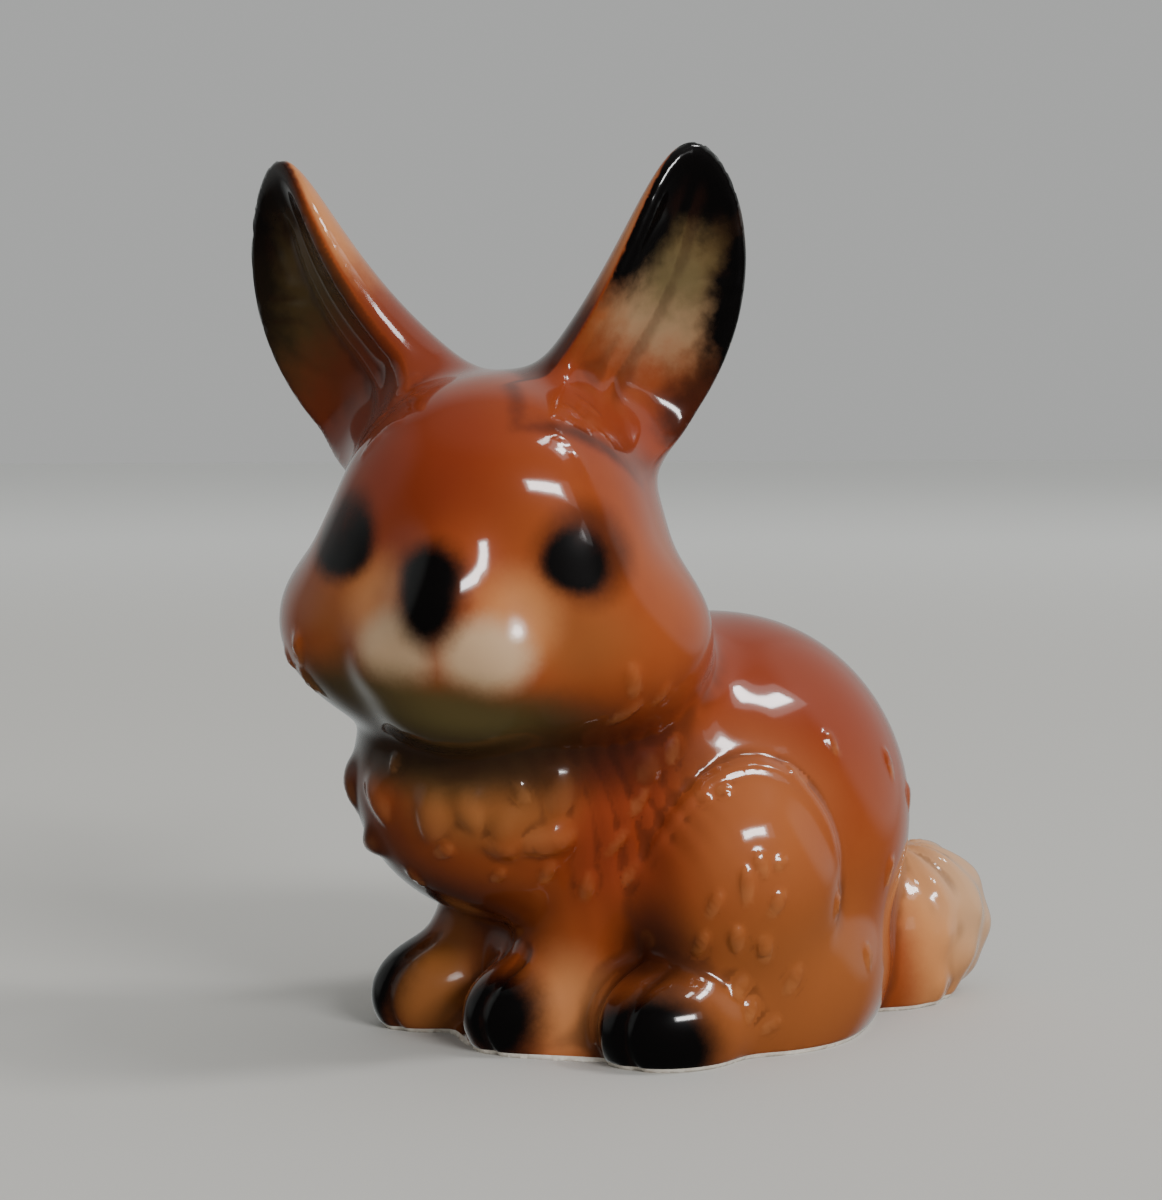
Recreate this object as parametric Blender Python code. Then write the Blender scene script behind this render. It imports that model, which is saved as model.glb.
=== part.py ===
"""Hare figurine: one slip-cast porcelain piece, sitting, head turned to its left, on its own flat underside.

Metres, +Z up, the underside on z = 0. The hare's body faces -Y, its left side is +X and its tail is at +Y.
The figure is a blend of rounded forms. Their places and sizes are in hundredths of HEIGHT.
"""
import bmesh
import bpy
import numpy as np

HEIGHT = 0.100            # underside to the tip of the higher ear
CELL = 0.95               # sampling step of the surface, in hundredths of HEIGHT
TRIANGLES = 9300          # facets kept in the finished solid
BELOW_TABLE = 3.0         # how far the forms run on under the table before the flat cut

# Head: centre in the body's frame, then how far it is turned left, nodded and tilted, in degrees.
HEAD_AT = np.array([3.0, -20.0, 48.0])
HEAD_TURN = 48.0
HEAD_NOD = 3.0
HEAD_TILT = 4.0

# Body forms: name, centre, radii, turn about Z in degrees, width of the blend into what is there already.
TRUNK = (
    ("rump", (0.0, 8.0, 22.0), (20.0, 21.0, 22.0), 0.0, 0.0),
    ("seat", (0.0, 10.0, 6.0), (19.0, 16.0, 13.0), 0.0, 6.0),
    ("ribs", (0.0, -4.0, 29.0), (16.0, 16.0, 14.5), 0.0, 8.0),
    ("chest", (0.0, -16.5, 28.2), (16.0, 17.5, 15.5), 0.0, 6.0),
    ("neck", (2.0, -12.0, 39.0), (14.0, 13.0, 10.0), 0.0, 8.0),
)
# Forms made once on each side: the second value is the left one, mirrored in X for the right.
HIND_LEG = (
    ("thigh", (12.6, 1.8, 18.0), (10.6, 11.8, 14.3), 0.0, 1.8),
    ("hock", (12.6, 5.5, 6.0), (8.6, 12.0, 11.5), 0.0, 4.0),
    ("hind foot", (15.0, -6.2, 3.6), (7.3, 9.0, 6.6), 8.0, 2.6),
)
# Forelegs: elbow, wrist and centre of the paw. The right paw stands further forward.
FORELEG = {
    "right": ((-8.0, -13.0, 17.0), (-10.2, -16.7, 5.0), (-10.2, -20.2, 3.5)),
    "left": ((6.5, -11.0, 18.0), (3.8, -12.6, 5.0), (3.4, -15.8, 3.6)),
}
ELBOW_RADIUS = 7.0
WRIST_RADIUS = 5.6
PAW_RADII = (6.0, 8.4, 6.3)
BELLY = ((0.0, -1.0, -1.0), (17.0, 22.0, 6.0))
BREAST = ((-2.0, -8.5, 8.0), (8.0, 10.0, 9.5))   # closes the body off between the forelegs
TAIL = ((2.0, 32.6, 8.4), (7.4, 9.0, 8.8))
TAIL_LEAN = -10.0
TAIL_ROOT = ((2.5, 27.5, 5.5), (8.2, 9.0, 9.5))

# Head forms in the head's own frame: name, centre, radii, blend. A centre with x above 0 is made on both sides.
SKULL = (
    ("skull", (0.0, 0.5, 3.5), (16.6, 17.5, 18.0), 0.0),
    ("forehead", (0.0, -6.5, 8.5), (13.6, 11.5, 11.5), 6.0),
    ("cheek", (10.2, -1.0, -4.5), (12.2, 13.5, 10.2), 7.0),
    ("jaw", (0.0, -3.5, -9.0), (13.0, 13.5, 8.6), 6.0),
    ("snout", (0.0, -11.5, -3.5), (9.0, 9.0, 8.0), 6.0),
    ("bridge", (0.0, -14.0, 1.5), (4.6, 7.0, 5.6), 6.0),
)
EYE_SOCKET = ((11.6, -18.6, 5.6), (4.6, 3.4, 5.2), 4.0)
FACE = (
    ("lip", (4.6, -15.2, -5.2), (6.0, 5.2, 4.8), 4.6),
    ("nose", (0.0, -18.2, 0.2), (3.9, 3.6, 4.9), 3.5),
    ("chin", (0.0, -13.8, -10.6), (6.0, 4.6, 3.6), 4.5),
)
EYE = ((9.6, -8.9, 4.5), (5.6, 5.6, 7.2), 0.9)

# Ears in the head's frame: foot, tip, bend outwards, and how far the hollow side is turned out, in degrees.
EAR = {
    "left": ((7.0, 4.0, 16.0), (17.2, 5.5, 45.4), 3.0, 40.0),
    "right": ((-10.3, 4.0, 15.0), (-28.8, 5.5, 41.4), 3.6, -40.0),
}
EAR_WIDE = 8.4            # half width at the root
EAR_DEEP = 7.9            # half depth at the root
EAR_ROOT = 0.32           # how far the ear runs on into the head, as a share of its length
EAR_HOLLOW = 2.3          # deepest part of the hollow under its rims
EAR_RIM = 0.34            # height of the rims over the ear's middle line, as a share of its depth


def turn(about, degrees):
    """Rotation matrix about one axis."""
    c = np.cos(np.radians(degrees))
    s = np.sin(np.radians(degrees))
    rows = {"x": [[1, 0, 0], [0, c, -s], [0, s, c]],
            "y": [[c, 0, s], [0, 1, 0], [-s, 0, c]],
            "z": [[c, -s, 0], [s, c, 0], [0, 0, 1]]}
    return np.array(rows[about], dtype=float)


HEAD_AXES = turn("z", HEAD_TURN) @ turn("x", HEAD_NOD) @ turn("y", HEAD_TILT)


def smoothstep(low, high, x):
    t = np.clip((x - low) / (high - low), 0.0, 1.0)
    return t * t * (3.0 - 2.0 * t)


def ellipsoid(p, centre, radii, axes=None):
    """Signed distance to an ellipsoid, close to the surface: k0 (k0 - 1) / k1."""
    q = p - np.asarray(centre)
    if axes is not None:
        q = q @ axes
    r = np.asarray(radii, dtype=float)
    k0 = np.sqrt(((q / r) ** 2).sum(axis=1)) + 1e-9
    k1 = np.sqrt(((q / (r * r)) ** 2).sum(axis=1)) + 1e-9
    return k0 * (k0 - 1.0) / k1


def rod(p, start, end, start_radius, end_radius):
    """Signed distance to a rounded rod whose radius runs evenly from one end to the other."""
    a = np.asarray(start, dtype=float)
    d = np.asarray(end, dtype=float) - a
    t = np.clip(((p - a) @ d) / (d @ d), 0.0, 1.0)
    return np.linalg.norm(p - a - t[:, None] * d, axis=1) - (start_radius + (end_radius - start_radius) * t)


def blend(a, b, width):
    """Union of two forms with a soft seam of the given width."""
    if width <= 0.0:
        return np.minimum(a, b)
    h = np.maximum(width - np.abs(a - b), 0.0) / width
    return np.minimum(a, b) - h ** 3 * width / 6.0


def carve(a, b, width):
    """Form a with form b taken out of it."""
    return -blend(-a, b, width)


def both_sides(centre):
    x, y, z = centre
    return (centre, (-x, y, z)) if x > 0.0 else (centre,)


def ear(q, side):
    """One ear: an oval section that narrows to the tip along a bowed line, with a hollow face."""
    foot, tip, bend, opening = EAR[side]
    foot = np.array(foot)
    along = np.array(tip) - foot
    length = np.linalg.norm(along)
    along = along / length
    a = np.radians(opening)
    face = np.array([np.sin(a), -np.cos(a), 0.0])
    face = face - (face @ along) * along
    face = face / np.linalg.norm(face)
    out = np.array([np.sign(foot[0]), 0.0, 0.0])
    out = out - (out @ along) * along
    out = out / np.linalg.norm(out)
    axes = np.stack([np.cross(along, face), face, along], axis=1)
    e = (q - foot) @ axes
    t = e[:, 2] / length
    held = np.clip(t, -EAR_ROOT, 0.995)
    e = e - (4.0 * held * (1.0 - held))[:, None] * (bend * (out @ axes))
    up = np.maximum(held, 0.0)
    root = np.sqrt(np.clip(1.0 - (np.minimum(t, 0.0) / EAR_ROOT) ** 2, 0.02, 1.0))
    wide = EAR_WIDE * np.sqrt(1.0 - up ** 2.8) * root
    deep = EAR_DEEP * np.sqrt(1.0 - up) * root
    x = e[:, 0]
    y = e[:, 1]
    section = (np.sqrt((x / wide) ** 2 + (y / deep) ** 2) - 1.0) * np.minimum(wide, deep)
    past = np.maximum(np.maximum(t - 0.995, -EAR_ROOT - t), 0.0) * length
    shell = np.where(past > 0.0, np.sqrt(np.maximum(section, 0.0) ** 2 + past ** 2), section)
    rim = EAR_RIM * deep + (1.0 - smoothstep(-0.08, 0.30, t)) * (0.8 * deep)
    dish = EAR_HOLLOW * smoothstep(0.02, 0.35, t) * (1.0 - smoothstep(0.75, 1.0, t))
    dish = dish * np.maximum(0.0, 1.0 - (x / (0.86 * wide)) ** 2)
    return -blend(-shell, -0.9 * (y - rim + dish), 2.0)


def head(p):
    """Head with ears, in the body's frame."""
    q = (p - HEAD_AT) @ HEAD_AXES
    f = np.full(len(p), 1e3)
    for _name, centre, radii, width in SKULL:
        for at in both_sides(centre):
            f = blend(f, ellipsoid(q, at, radii), width)
    for at in both_sides(EYE_SOCKET[0]):
        f = carve(f, ellipsoid(q, at, EYE_SOCKET[1]), EYE_SOCKET[2])
    for _name, centre, radii, width in FACE:
        for at in both_sides(centre):
            f = blend(f, ellipsoid(q, at, radii), width)
    for side in EAR:
        f = blend(f, ear(q, side), 4.6)
    for at in both_sides(EYE[0]):
        f = blend(f, ellipsoid(q, at, EYE[1]), EYE[2])
    return f


def body(p):
    """Trunk, legs and tail."""
    f = np.full(len(p), 1e3)
    for _name, centre, radii, angle, width in TRUNK:
        f = blend(f, ellipsoid(p, centre, radii, turn("z", angle)), width)
    for _name, centre, radii, angle, width in HIND_LEG:
        for at in both_sides(centre):
            f = blend(f, ellipsoid(p, at, radii, turn("z", np.sign(at[0]) * angle)), width)
    for elbow, wrist, paw in FORELEG.values():
        f = blend(f, rod(p, elbow, wrist, ELBOW_RADIUS, WRIST_RADIUS), 5.0)
        f = blend(f, ellipsoid(p, paw, PAW_RADII), 3.5)
    f = blend(f, ellipsoid(p, BELLY[0], BELLY[1]), 3.0)
    f = blend(f, ellipsoid(p, BREAST[0], BREAST[1]), 3.0)
    tail = ellipsoid(p, TAIL[0], TAIL[1], turn("x", TAIL_LEAN))
    tail = blend(tail, ellipsoid(p, TAIL_ROOT[0], TAIL_ROOT[1]), 4.0)
    return blend(f, tail, 3.0)


def figure(p):
    """Signed distance to the whole hare, in hundredths of HEIGHT."""
    return blend(body(p), head(p), 4.0)


def close_pinches(value):
    """Fills grid squares whose inside corners touch only across a diagonal, so that no edge joins four facets."""
    for _ in range(4):
        found = 0
        for axis in range(3):
            first, second = [n for n in range(3) if n != axis]
            corner = []
            for i, j in ((0, 0), (1, 0), (1, 1), (0, 1)):
                part = [slice(None)] * 3
                part[first] = slice(i, value.shape[first] - 1 + i)
                part[second] = slice(j, value.shape[second] - 1 + j)
                corner.append(value[tuple(part)])
            a, b, c, d = [part < 0.0 for part in corner]
            pinched = (a == c) & (b == d) & (a != b)
            found += pinched.sum()
            for part in corner:
                part[pinched & (part >= 0.0)] = -1e-3
        if found == 0:
            break
    return value


def surface(low, high, step):
    """Quads on the zero of figure(): one point in each grid cell it passes, one quad for each grid edge it cuts."""
    axes = [np.arange(a, b + step, step) for a, b in zip(low, high)]
    shape = tuple(len(a) for a in axes)
    grid = np.stack(np.meshgrid(*axes, indexing="ij"), axis=-1).reshape(-1, 3)
    value = np.concatenate([figure(part) for part in np.array_split(grid, 12)]).reshape(shape)
    value = close_pinches(value)
    inside = value < 0.0
    cells = tuple(n - 1 for n in shape)
    total = np.zeros(cells + (3,))
    count = np.zeros(cells)
    corner = [(i, j, k) for i in (0, 1) for j in (0, 1) for k in (0, 1)]
    for a in corner:
        for axis in range(3):
            if a[axis] == 1:
                continue
            b = tuple(a[n] + (1 if n == axis else 0) for n in range(3))
            va = value[tuple(slice(a[n], a[n] + cells[n]) for n in range(3))]
            vb = value[tuple(slice(b[n], b[n] + cells[n]) for n in range(3))]
            cut = (va < 0.0) != (vb < 0.0)
            share = np.where(cut, va / np.where(cut, va - vb, 1.0), 0.0)
            for n in range(3):
                total[..., n] += np.where(cut, a[n] + (share if n == axis else 0.0), 0.0)
            count += cut
    used = count > 0
    number = np.full(cells, -1)
    number[used] = np.arange(used.sum())
    points = np.argwhere(used) + total[used] / count[used][:, None]
    points = np.asarray(low) + points * step
    quads = []
    for axis in range(3):
        span = tuple(slice(0, shape[n] - 1) if n == axis else slice(1, shape[n] - 1) for n in range(3))
        ahead = tuple(slice(1, shape[n]) if n == axis else slice(1, shape[n] - 1) for n in range(3))
        first, second = inside[span], inside[ahead]
        others = [n for n in range(3) if n != axis]
        for flip, at in ((False, np.argwhere(first & ~second)), (True, np.argwhere(~first & second))):
            at = at + np.array([0 if n == axis else 1 for n in range(3)])
            ring = []
            for du, dv in ((1, 1), (0, 1), (0, 0), (1, 0)):
                back = at.copy()
                back[:, others[0]] -= du
                back[:, others[1]] -= dv
                ring.append(number[back[:, 0], back[:, 1], back[:, 2]])
            ring = np.stack(ring, axis=1)
            if flip != (axis == 1):
                ring = ring[:, ::-1]
            quads.append(ring)
    return points, np.concatenate(quads)


def settle(points, rounds=3):
    """Moves points onto the surface along its gradient."""
    reach = 0.02
    for _ in range(rounds):
        value = figure(points)
        slope = np.stack([figure(points + reach * side) - figure(points - reach * side)
                          for side in np.eye(3)], axis=1) / (2.0 * reach)
        move = value / np.maximum((slope ** 2).sum(axis=1), 0.2)
        points = points - np.clip(move, -0.6, 0.6)[:, None] * slope
    return points


def porcelain():
    """Glossy orange-brown glaze."""
    made = bpy.data.materials.new("glazed_porcelain")
    made.use_nodes = True
    shader = made.node_tree.nodes["Principled BSDF"]
    shader.inputs["Base Color"].default_value = (0.30, 0.085, 0.030, 1.0)
    shader.inputs["Roughness"].default_value = 0.12
    shader.inputs["Metallic"].default_value = 0.0
    return made


def thin_out(piece, wanted):
    """Joins small facets until the wanted number of triangles is left."""
    piece.data.calc_loop_triangles()
    fewer = piece.modifiers.new("facets", "DECIMATE")
    fewer.ratio = wanted / len(piece.data.loop_triangles)
    bpy.context.view_layer.update()
    graph = bpy.context.evaluated_depsgraph_get()
    kept = bpy.data.meshes.new_from_object(piece.evaluated_get(graph))
    piece.modifiers.clear()
    piece.data = kept


def cut_flat(piece):
    """Cuts the solid on z = 0 and closes the cut with one flat underside."""
    mesh = bmesh.new()
    mesh.from_mesh(piece.data)
    everything = mesh.verts[:] + mesh.edges[:] + mesh.faces[:]
    bmesh.ops.bisect_plane(mesh, geom=everything, dist=1e-5, plane_co=(0, 0, 0), plane_no=(0, 0, 1),
                           clear_inner=True)
    rim = [edge for edge in mesh.edges if len(edge.link_faces) == 1]
    for edge in rim:
        for vert in edge.verts:
            vert.co.z = 0.0
    bmesh.ops.remove_doubles(mesh, verts=mesh.verts[:], dist=2e-5)
    rim = [edge for edge in mesh.edges if len(edge.link_faces) == 1]
    bmesh.ops.triangle_fill(mesh, edges=rim, use_beauty=True, normal=(0, 0, -1))
    bmesh.ops.triangulate(mesh, faces=mesh.faces[:])
    bmesh.ops.recalc_face_normals(mesh, faces=mesh.faces[:])
    mesh.to_mesh(piece.data)
    mesh.free()


def main():
    for old in list(bpy.data.objects):
        bpy.data.objects.remove(old, do_unlink=True)
    points, quads = surface((-32.0, -48.0, -BELOW_TABLE - 8.0), (32.0, 46.0, 106.0), CELL)
    points = settle(points)
    points = points * (HEIGHT / points[:, 2].max())
    shape = bpy.data.meshes.new("hare")
    shape.from_pydata(points.tolist(), [], quads.tolist())
    shape.update()
    piece = bpy.data.objects.new("hare", shape)
    bpy.context.scene.collection.objects.link(piece)
    thin_out(piece, TRIANGLES)
    cut_flat(piece)
    low = np.min([v.co[:] for v in piece.data.vertices], axis=0)
    high = np.max([v.co[:] for v in piece.data.vertices], axis=0)
    middle = (low + high) / 2.0
    for v in piece.data.vertices:
        v.co.x -= middle[0]
        v.co.y -= middle[1]
    piece.data.materials.append(porcelain())
    for face in piece.data.polygons:
        face.use_smooth = False
    piece.data.calc_loop_triangles()
    print("triangles", len(piece.data.loop_triangles), "size", (high - low) * 1000.0, "middle", middle * 1000.0)


main()
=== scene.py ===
"""Sitting hare figurine in glazed porcelain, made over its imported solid.

The figure is the level surface of a blend of rounded forms, worked out with numpy on a grid and then moved
point by point onto the finer form with its tufts, toes, eyeballs and ear hair. Places and sizes of the
forms are in hundredths of the figure's height, in the hare's own frame: -Y the way the body faces, +X its
left side.
"""
import math

import bmesh
import bpy
import numpy as np
from mathutils import Matrix, Vector


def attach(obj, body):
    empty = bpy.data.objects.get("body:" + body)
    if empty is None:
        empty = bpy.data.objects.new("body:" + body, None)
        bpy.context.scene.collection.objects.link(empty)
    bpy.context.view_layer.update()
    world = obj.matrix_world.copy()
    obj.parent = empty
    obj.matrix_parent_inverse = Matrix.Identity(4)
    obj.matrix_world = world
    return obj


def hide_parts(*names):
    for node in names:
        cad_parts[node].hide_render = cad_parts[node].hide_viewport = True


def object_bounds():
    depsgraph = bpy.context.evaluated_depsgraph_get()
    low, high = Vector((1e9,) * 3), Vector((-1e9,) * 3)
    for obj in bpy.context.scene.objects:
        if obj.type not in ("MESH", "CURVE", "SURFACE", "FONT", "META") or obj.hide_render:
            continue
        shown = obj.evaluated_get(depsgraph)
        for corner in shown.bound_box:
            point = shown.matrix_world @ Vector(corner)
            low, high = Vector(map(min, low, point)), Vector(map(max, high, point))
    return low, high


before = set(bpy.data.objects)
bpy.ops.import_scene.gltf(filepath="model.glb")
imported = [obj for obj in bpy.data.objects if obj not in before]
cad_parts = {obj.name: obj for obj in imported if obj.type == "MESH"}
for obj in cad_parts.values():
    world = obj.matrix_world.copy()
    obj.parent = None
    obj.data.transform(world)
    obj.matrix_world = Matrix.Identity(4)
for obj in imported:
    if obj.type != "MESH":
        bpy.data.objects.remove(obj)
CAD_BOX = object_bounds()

bl_info = {
    "name": "Porcelain hare",
    "version": (1, 0, 0),
    "blender": (4, 5, 0),
    "location": "View3D > Sidebar > Hare",
    "description": "Makes a sitting porcelain hare with sprayed colours and a clear glaze",
    "category": "Object",
}

# Corners of the box that is searched for the surface, and a distance beyond every form.
SEARCH_LOW = (-32.0, -48.0, -11.0)
SEARCH_HIGH = (32.0, 46.0, 106.0)
FAR_OFF = 1e3

LOW = np.array(CAD_BOX[0])
HIGH = np.array(CAD_BOX[1])
HEIGHT = float(HIGH[2] - LOW[2])
SHARE = HEIGHT / 100.0
MIDDLE = Vector((0.0, 0.0, HEIGHT / 2.0))

# Head: centre in the body's frame, then how far it is turned left, nodded and tilted, in degrees.
HEAD_AT = np.array([3.0, -20.0, 48.0])
HEAD_TURN = 48.0
HEAD_NOD = 3.0
HEAD_TILT = 4.0

# Trunk: name, centre, radii, width of the blend into what is there already.
TRUNK = (
    ("rump", (0, 8, 22), (20, 21, 22), 0),
    ("seat", (0, 10, 6), (19, 16, 13), 6),
    ("ribs", (0, -4, 29), (16, 16, 14.5), 8),
    ("chest", (0, -16.5, 28.2), (16, 17.5, 15.5), 6),
    ("neck", (2, -12, 39), (14, 13, 10), 8),
)
# Hind legs: name, centre on the left side, radii, turn about Z in degrees, blend.
HIND_LEG = (
    ("thigh", (12.6, 1.8, 18), (10.6, 11.8, 14.3), 0, 1),
    ("hock", (12.6, 5.5, 6), (8.6, 12, 11.5), 0, 4),
    ("hind foot", (15, -6.2, 3.6), (7.3, 9, 6.6), 8, 3.4),
)
# Forelegs: elbow, wrist, centre of the paw and its radii. The right paw stands further forward.
FORELEG = {
    "right": ((-8, -13, 17), (-10.2, -16.7, 5), (-10.2, -20.2, 3.5), (6, 8.4, 6.3)),
    "left": ((6.5, -11, 18), (3.8, -12.6, 5), (3.7, -14.8, 3.6), (6.5, 9.6, 6.3)),
}
ELBOW_RADIUS = 7.0
WRIST_RADIUS = 5.6
FORELEG_BLEND = 5.0
PAW_BLEND = 4.5
UNDER_BLEND = 3.0
TAIL_ROOT_BLEND = 4.0
HEAD_BLEND = 4.0
EAR_BLEND = 4.6
BELLY = ((0, -1, -1), (17, 22, 6))
BREAST = ((-2, -8.5, 8), (8, 10, 9.5))
TAIL = ((2, 32.6, 8.4), (7.4, 9, 8.8))
TAIL_LEAN = -10.0
TAIL_ROOT = ((2.5, 27.5, 5.5), (8.2, 9, 9.5))

# Head forms in the head's own frame. A centre with x above 0 is made on both sides.
SKULL = (
    ("skull", (0, 0.5, 3.5), (16.6, 17.5, 18), 0),
    ("forehead", (0, -6, 9), (13.6, 11.5, 11), 6),
    ("cheek", (10.2, -1, -4.5), (12.2, 13.5, 10.2), 7),
    ("jaw", (0, -3.5, -9), (13, 13.5, 8.6), 6),
    ("orbit", (8, -7.4, -1), (8.8, 8.8, 12), 6),
    ("snout", (0, -11.5, -3.5), (9, 9, 8), 6),
    ("bridge", (0, -13.6, 1.7), (5, 7, 6.5), 6),
)
EYE_SOCKET = ((11.6, -20.6, 5.6), (3.6, 2.6, 4.4), 2)
FACE = (
    ("lip", (4, -15, -5.8), (5.6, 5.4, 4.5), 5),
    ("nose", (-0.3, -18.2, -1.6), (4.2, 3.8, 5), 4),
    ("chin", (0, -13.8, -10.6), (6, 4.6, 3.6), 4.5),
)
EYES = (("eye", (9.9, -9.2, 4.6), (4.6, 5.5, 5), 1.5),)

# Ears in the head's frame: foot, tip, bend outwards, and how far the hollow side is turned out, in degrees.
EAR = {
    "left": ((7, 4, 16), (17.2, 5.5, 45.4), 3, 40),
    "right": ((-10.3, 4, 15), (-28.8, 5.5, 41.4), 3.6, -40),
}
EAR_WIDE = {"left": 8.5, "right": 9.3}
EAR_DEEP = {"left": 7.9, "right": 8.8}
EAR_ROOT = 0.32
EAR_HOLLOW = 2.3
EAR_RIM = 0.34
EAR_FOLD = 0.22
EAR_HAIR = {"left": 0.06, "right": 0.11}
EAR_FURROW = 0.03

# Relief of the finer form: how deep or high each kind is. The strokes of the coat also have a spacing.
THIGH_GROOVE = 0.16
THIGH_BEAD = 0.50
TOE_GROOVE = 0.38
TAIL_WAVE = 0.23
TAIL_DIMPLE = 0.18
COAT_STROKE = 0.13
COAT_STROKE_GAP = 2.3

# Raised tufts of fur: azimuth from -Y towards the left side, elevation, lean from upright, length, width and
# lift. Body tufts are aimed from TUFT_CENTRE, head tufts from the head's centre.
TUFT_CENTRE = np.array([0.0, 2.0, 18.0])
FLANK_TUFTS = (
    (79, 1, 0, 3.8, 1.3, 0.8), (87, -4, 25, 3, 1.4, 0.8), (71, -4, 25, 3, 1.2, 0.7),
    (77, -13, 0, 3, 1.5, 0.95), (85, -16, -15, 3.2, 1.5, 0.95), (95, -25, 25, 3.2, 1.4, 0.9),
    (79, -26, 30, 2.8, 1.4, 0.9), (82, -31, 20, 2.4, 1.3, 0.9), (89, -35, 60, 2.4, 1.2, 0.8),
    (125, -22, 0, 2.6, 1.2, 0.7), (112, -8, 10, 2.4, 1.1, 0.55), (68, -15, 25, 3, 1.3, 0.7),
    (83, 6, -20, 2.6, 1.1, 0.6), (88, 6, 40, 1.8, 1, 0.6), (136, -2, 0, 3, 1.1, 0.7),
    (69, 25, 90, 1.8, 1, 0.7), (75, 26, 85, 1.5, 0.9, 0.7), (100, 28, -32, 3.2, 1.1, 0.9),
    (138, 24, -7, 3.4, 1.2, 0.9), (116, 34, -15, 3, 1.1, 0.6), (150, 14, 0, 3, 1.2, 0.6),
)
SHOULDER_TUFTS = (
    (53, 31, 0, 3.6, 3, 0.65), (51, 23, 30, 3.4, 1.3, 0.5), (60, 36, 20, 3.2, 1.4, 0.5),
    (37, 0, 0, 3.4, 1.5, 0.5), (45, 12, 35, 3.6, 1.3, 0.4), (48, 4, 30, 3.2, 1.2, 0.35),
)
CHEST_TUFTS = (
    (16, 13, 20, 5.2, 3.6, 0.95), (22, 15, -10, 4.4, 3, 0.95), (27, 12, 10, 3.8, 2.6, 0.6),
    (36, 21, 15, 4.6, 3, 0.8), (26, 9, 88, 3.4, 2.4, 0.95), (33, 11, 76, 5.6, 3.2, 1.25),
    (16, 7, 60, 2.4, 1.5, 0.8), (23, 3, 30, 2.2, 1.2, 0.6), (5, 14, -10, 4.6, 3.4, 0.85),
    (9, 20, 30, 2.6, 1.5, 0.55), (30, 19, -30, 2.4, 1.3, 0.55), (31, 4, 10, 3, 1.5, 0.55),
    (-7, 15, -12, 4.8, 3.4, 0.95), (-16, 11, 14, 4.4, 3.2, 0.95), (-24, 16, -20, 4.8, 3.6, 1),
    (-3, 6, 76, 4.6, 2.8, 0.95), (-30, 10, -70, 4.6, 3, 1), (-12, 3, 20, 2.4, 1.4, 0.6),
    (-20, 5, -30, 2.6, 1.4, 0.6), (6, 1, -10, 2.6, 1.5, 0.55),
)
BACK_TUFTS = (
    (168, 32, 8, 3.2, 1.2, 0.4), (182, 22, -6, 3.2, 1.2, 0.4), (196, 34, 0, 3, 1.2, 0.35),
    (205, 12, 10, 3.2, 1.3, 0.4), (172, 46, 5, 3, 1.2, 0.35),
)
HEAD_TUFTS = (
    (55, -18, -18, 3.6, 1.5, 0.5), (57, -28, 33, 3.8, 1.5, 0.5), (66, -22, 20, 2.6, 1.2, 0.35),
    (67, 62, -20, 2.6, 0.8, 0.14), (50, 58, -17, 2.2, 0.7, 0.14), (60, 50, -35, 2.2, 0.8, 0.16),
    (36, 48, -53, 2, 0.7, 0.13), (42, 41, -20, 2.8, 0.7, 0.14),
)

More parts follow.
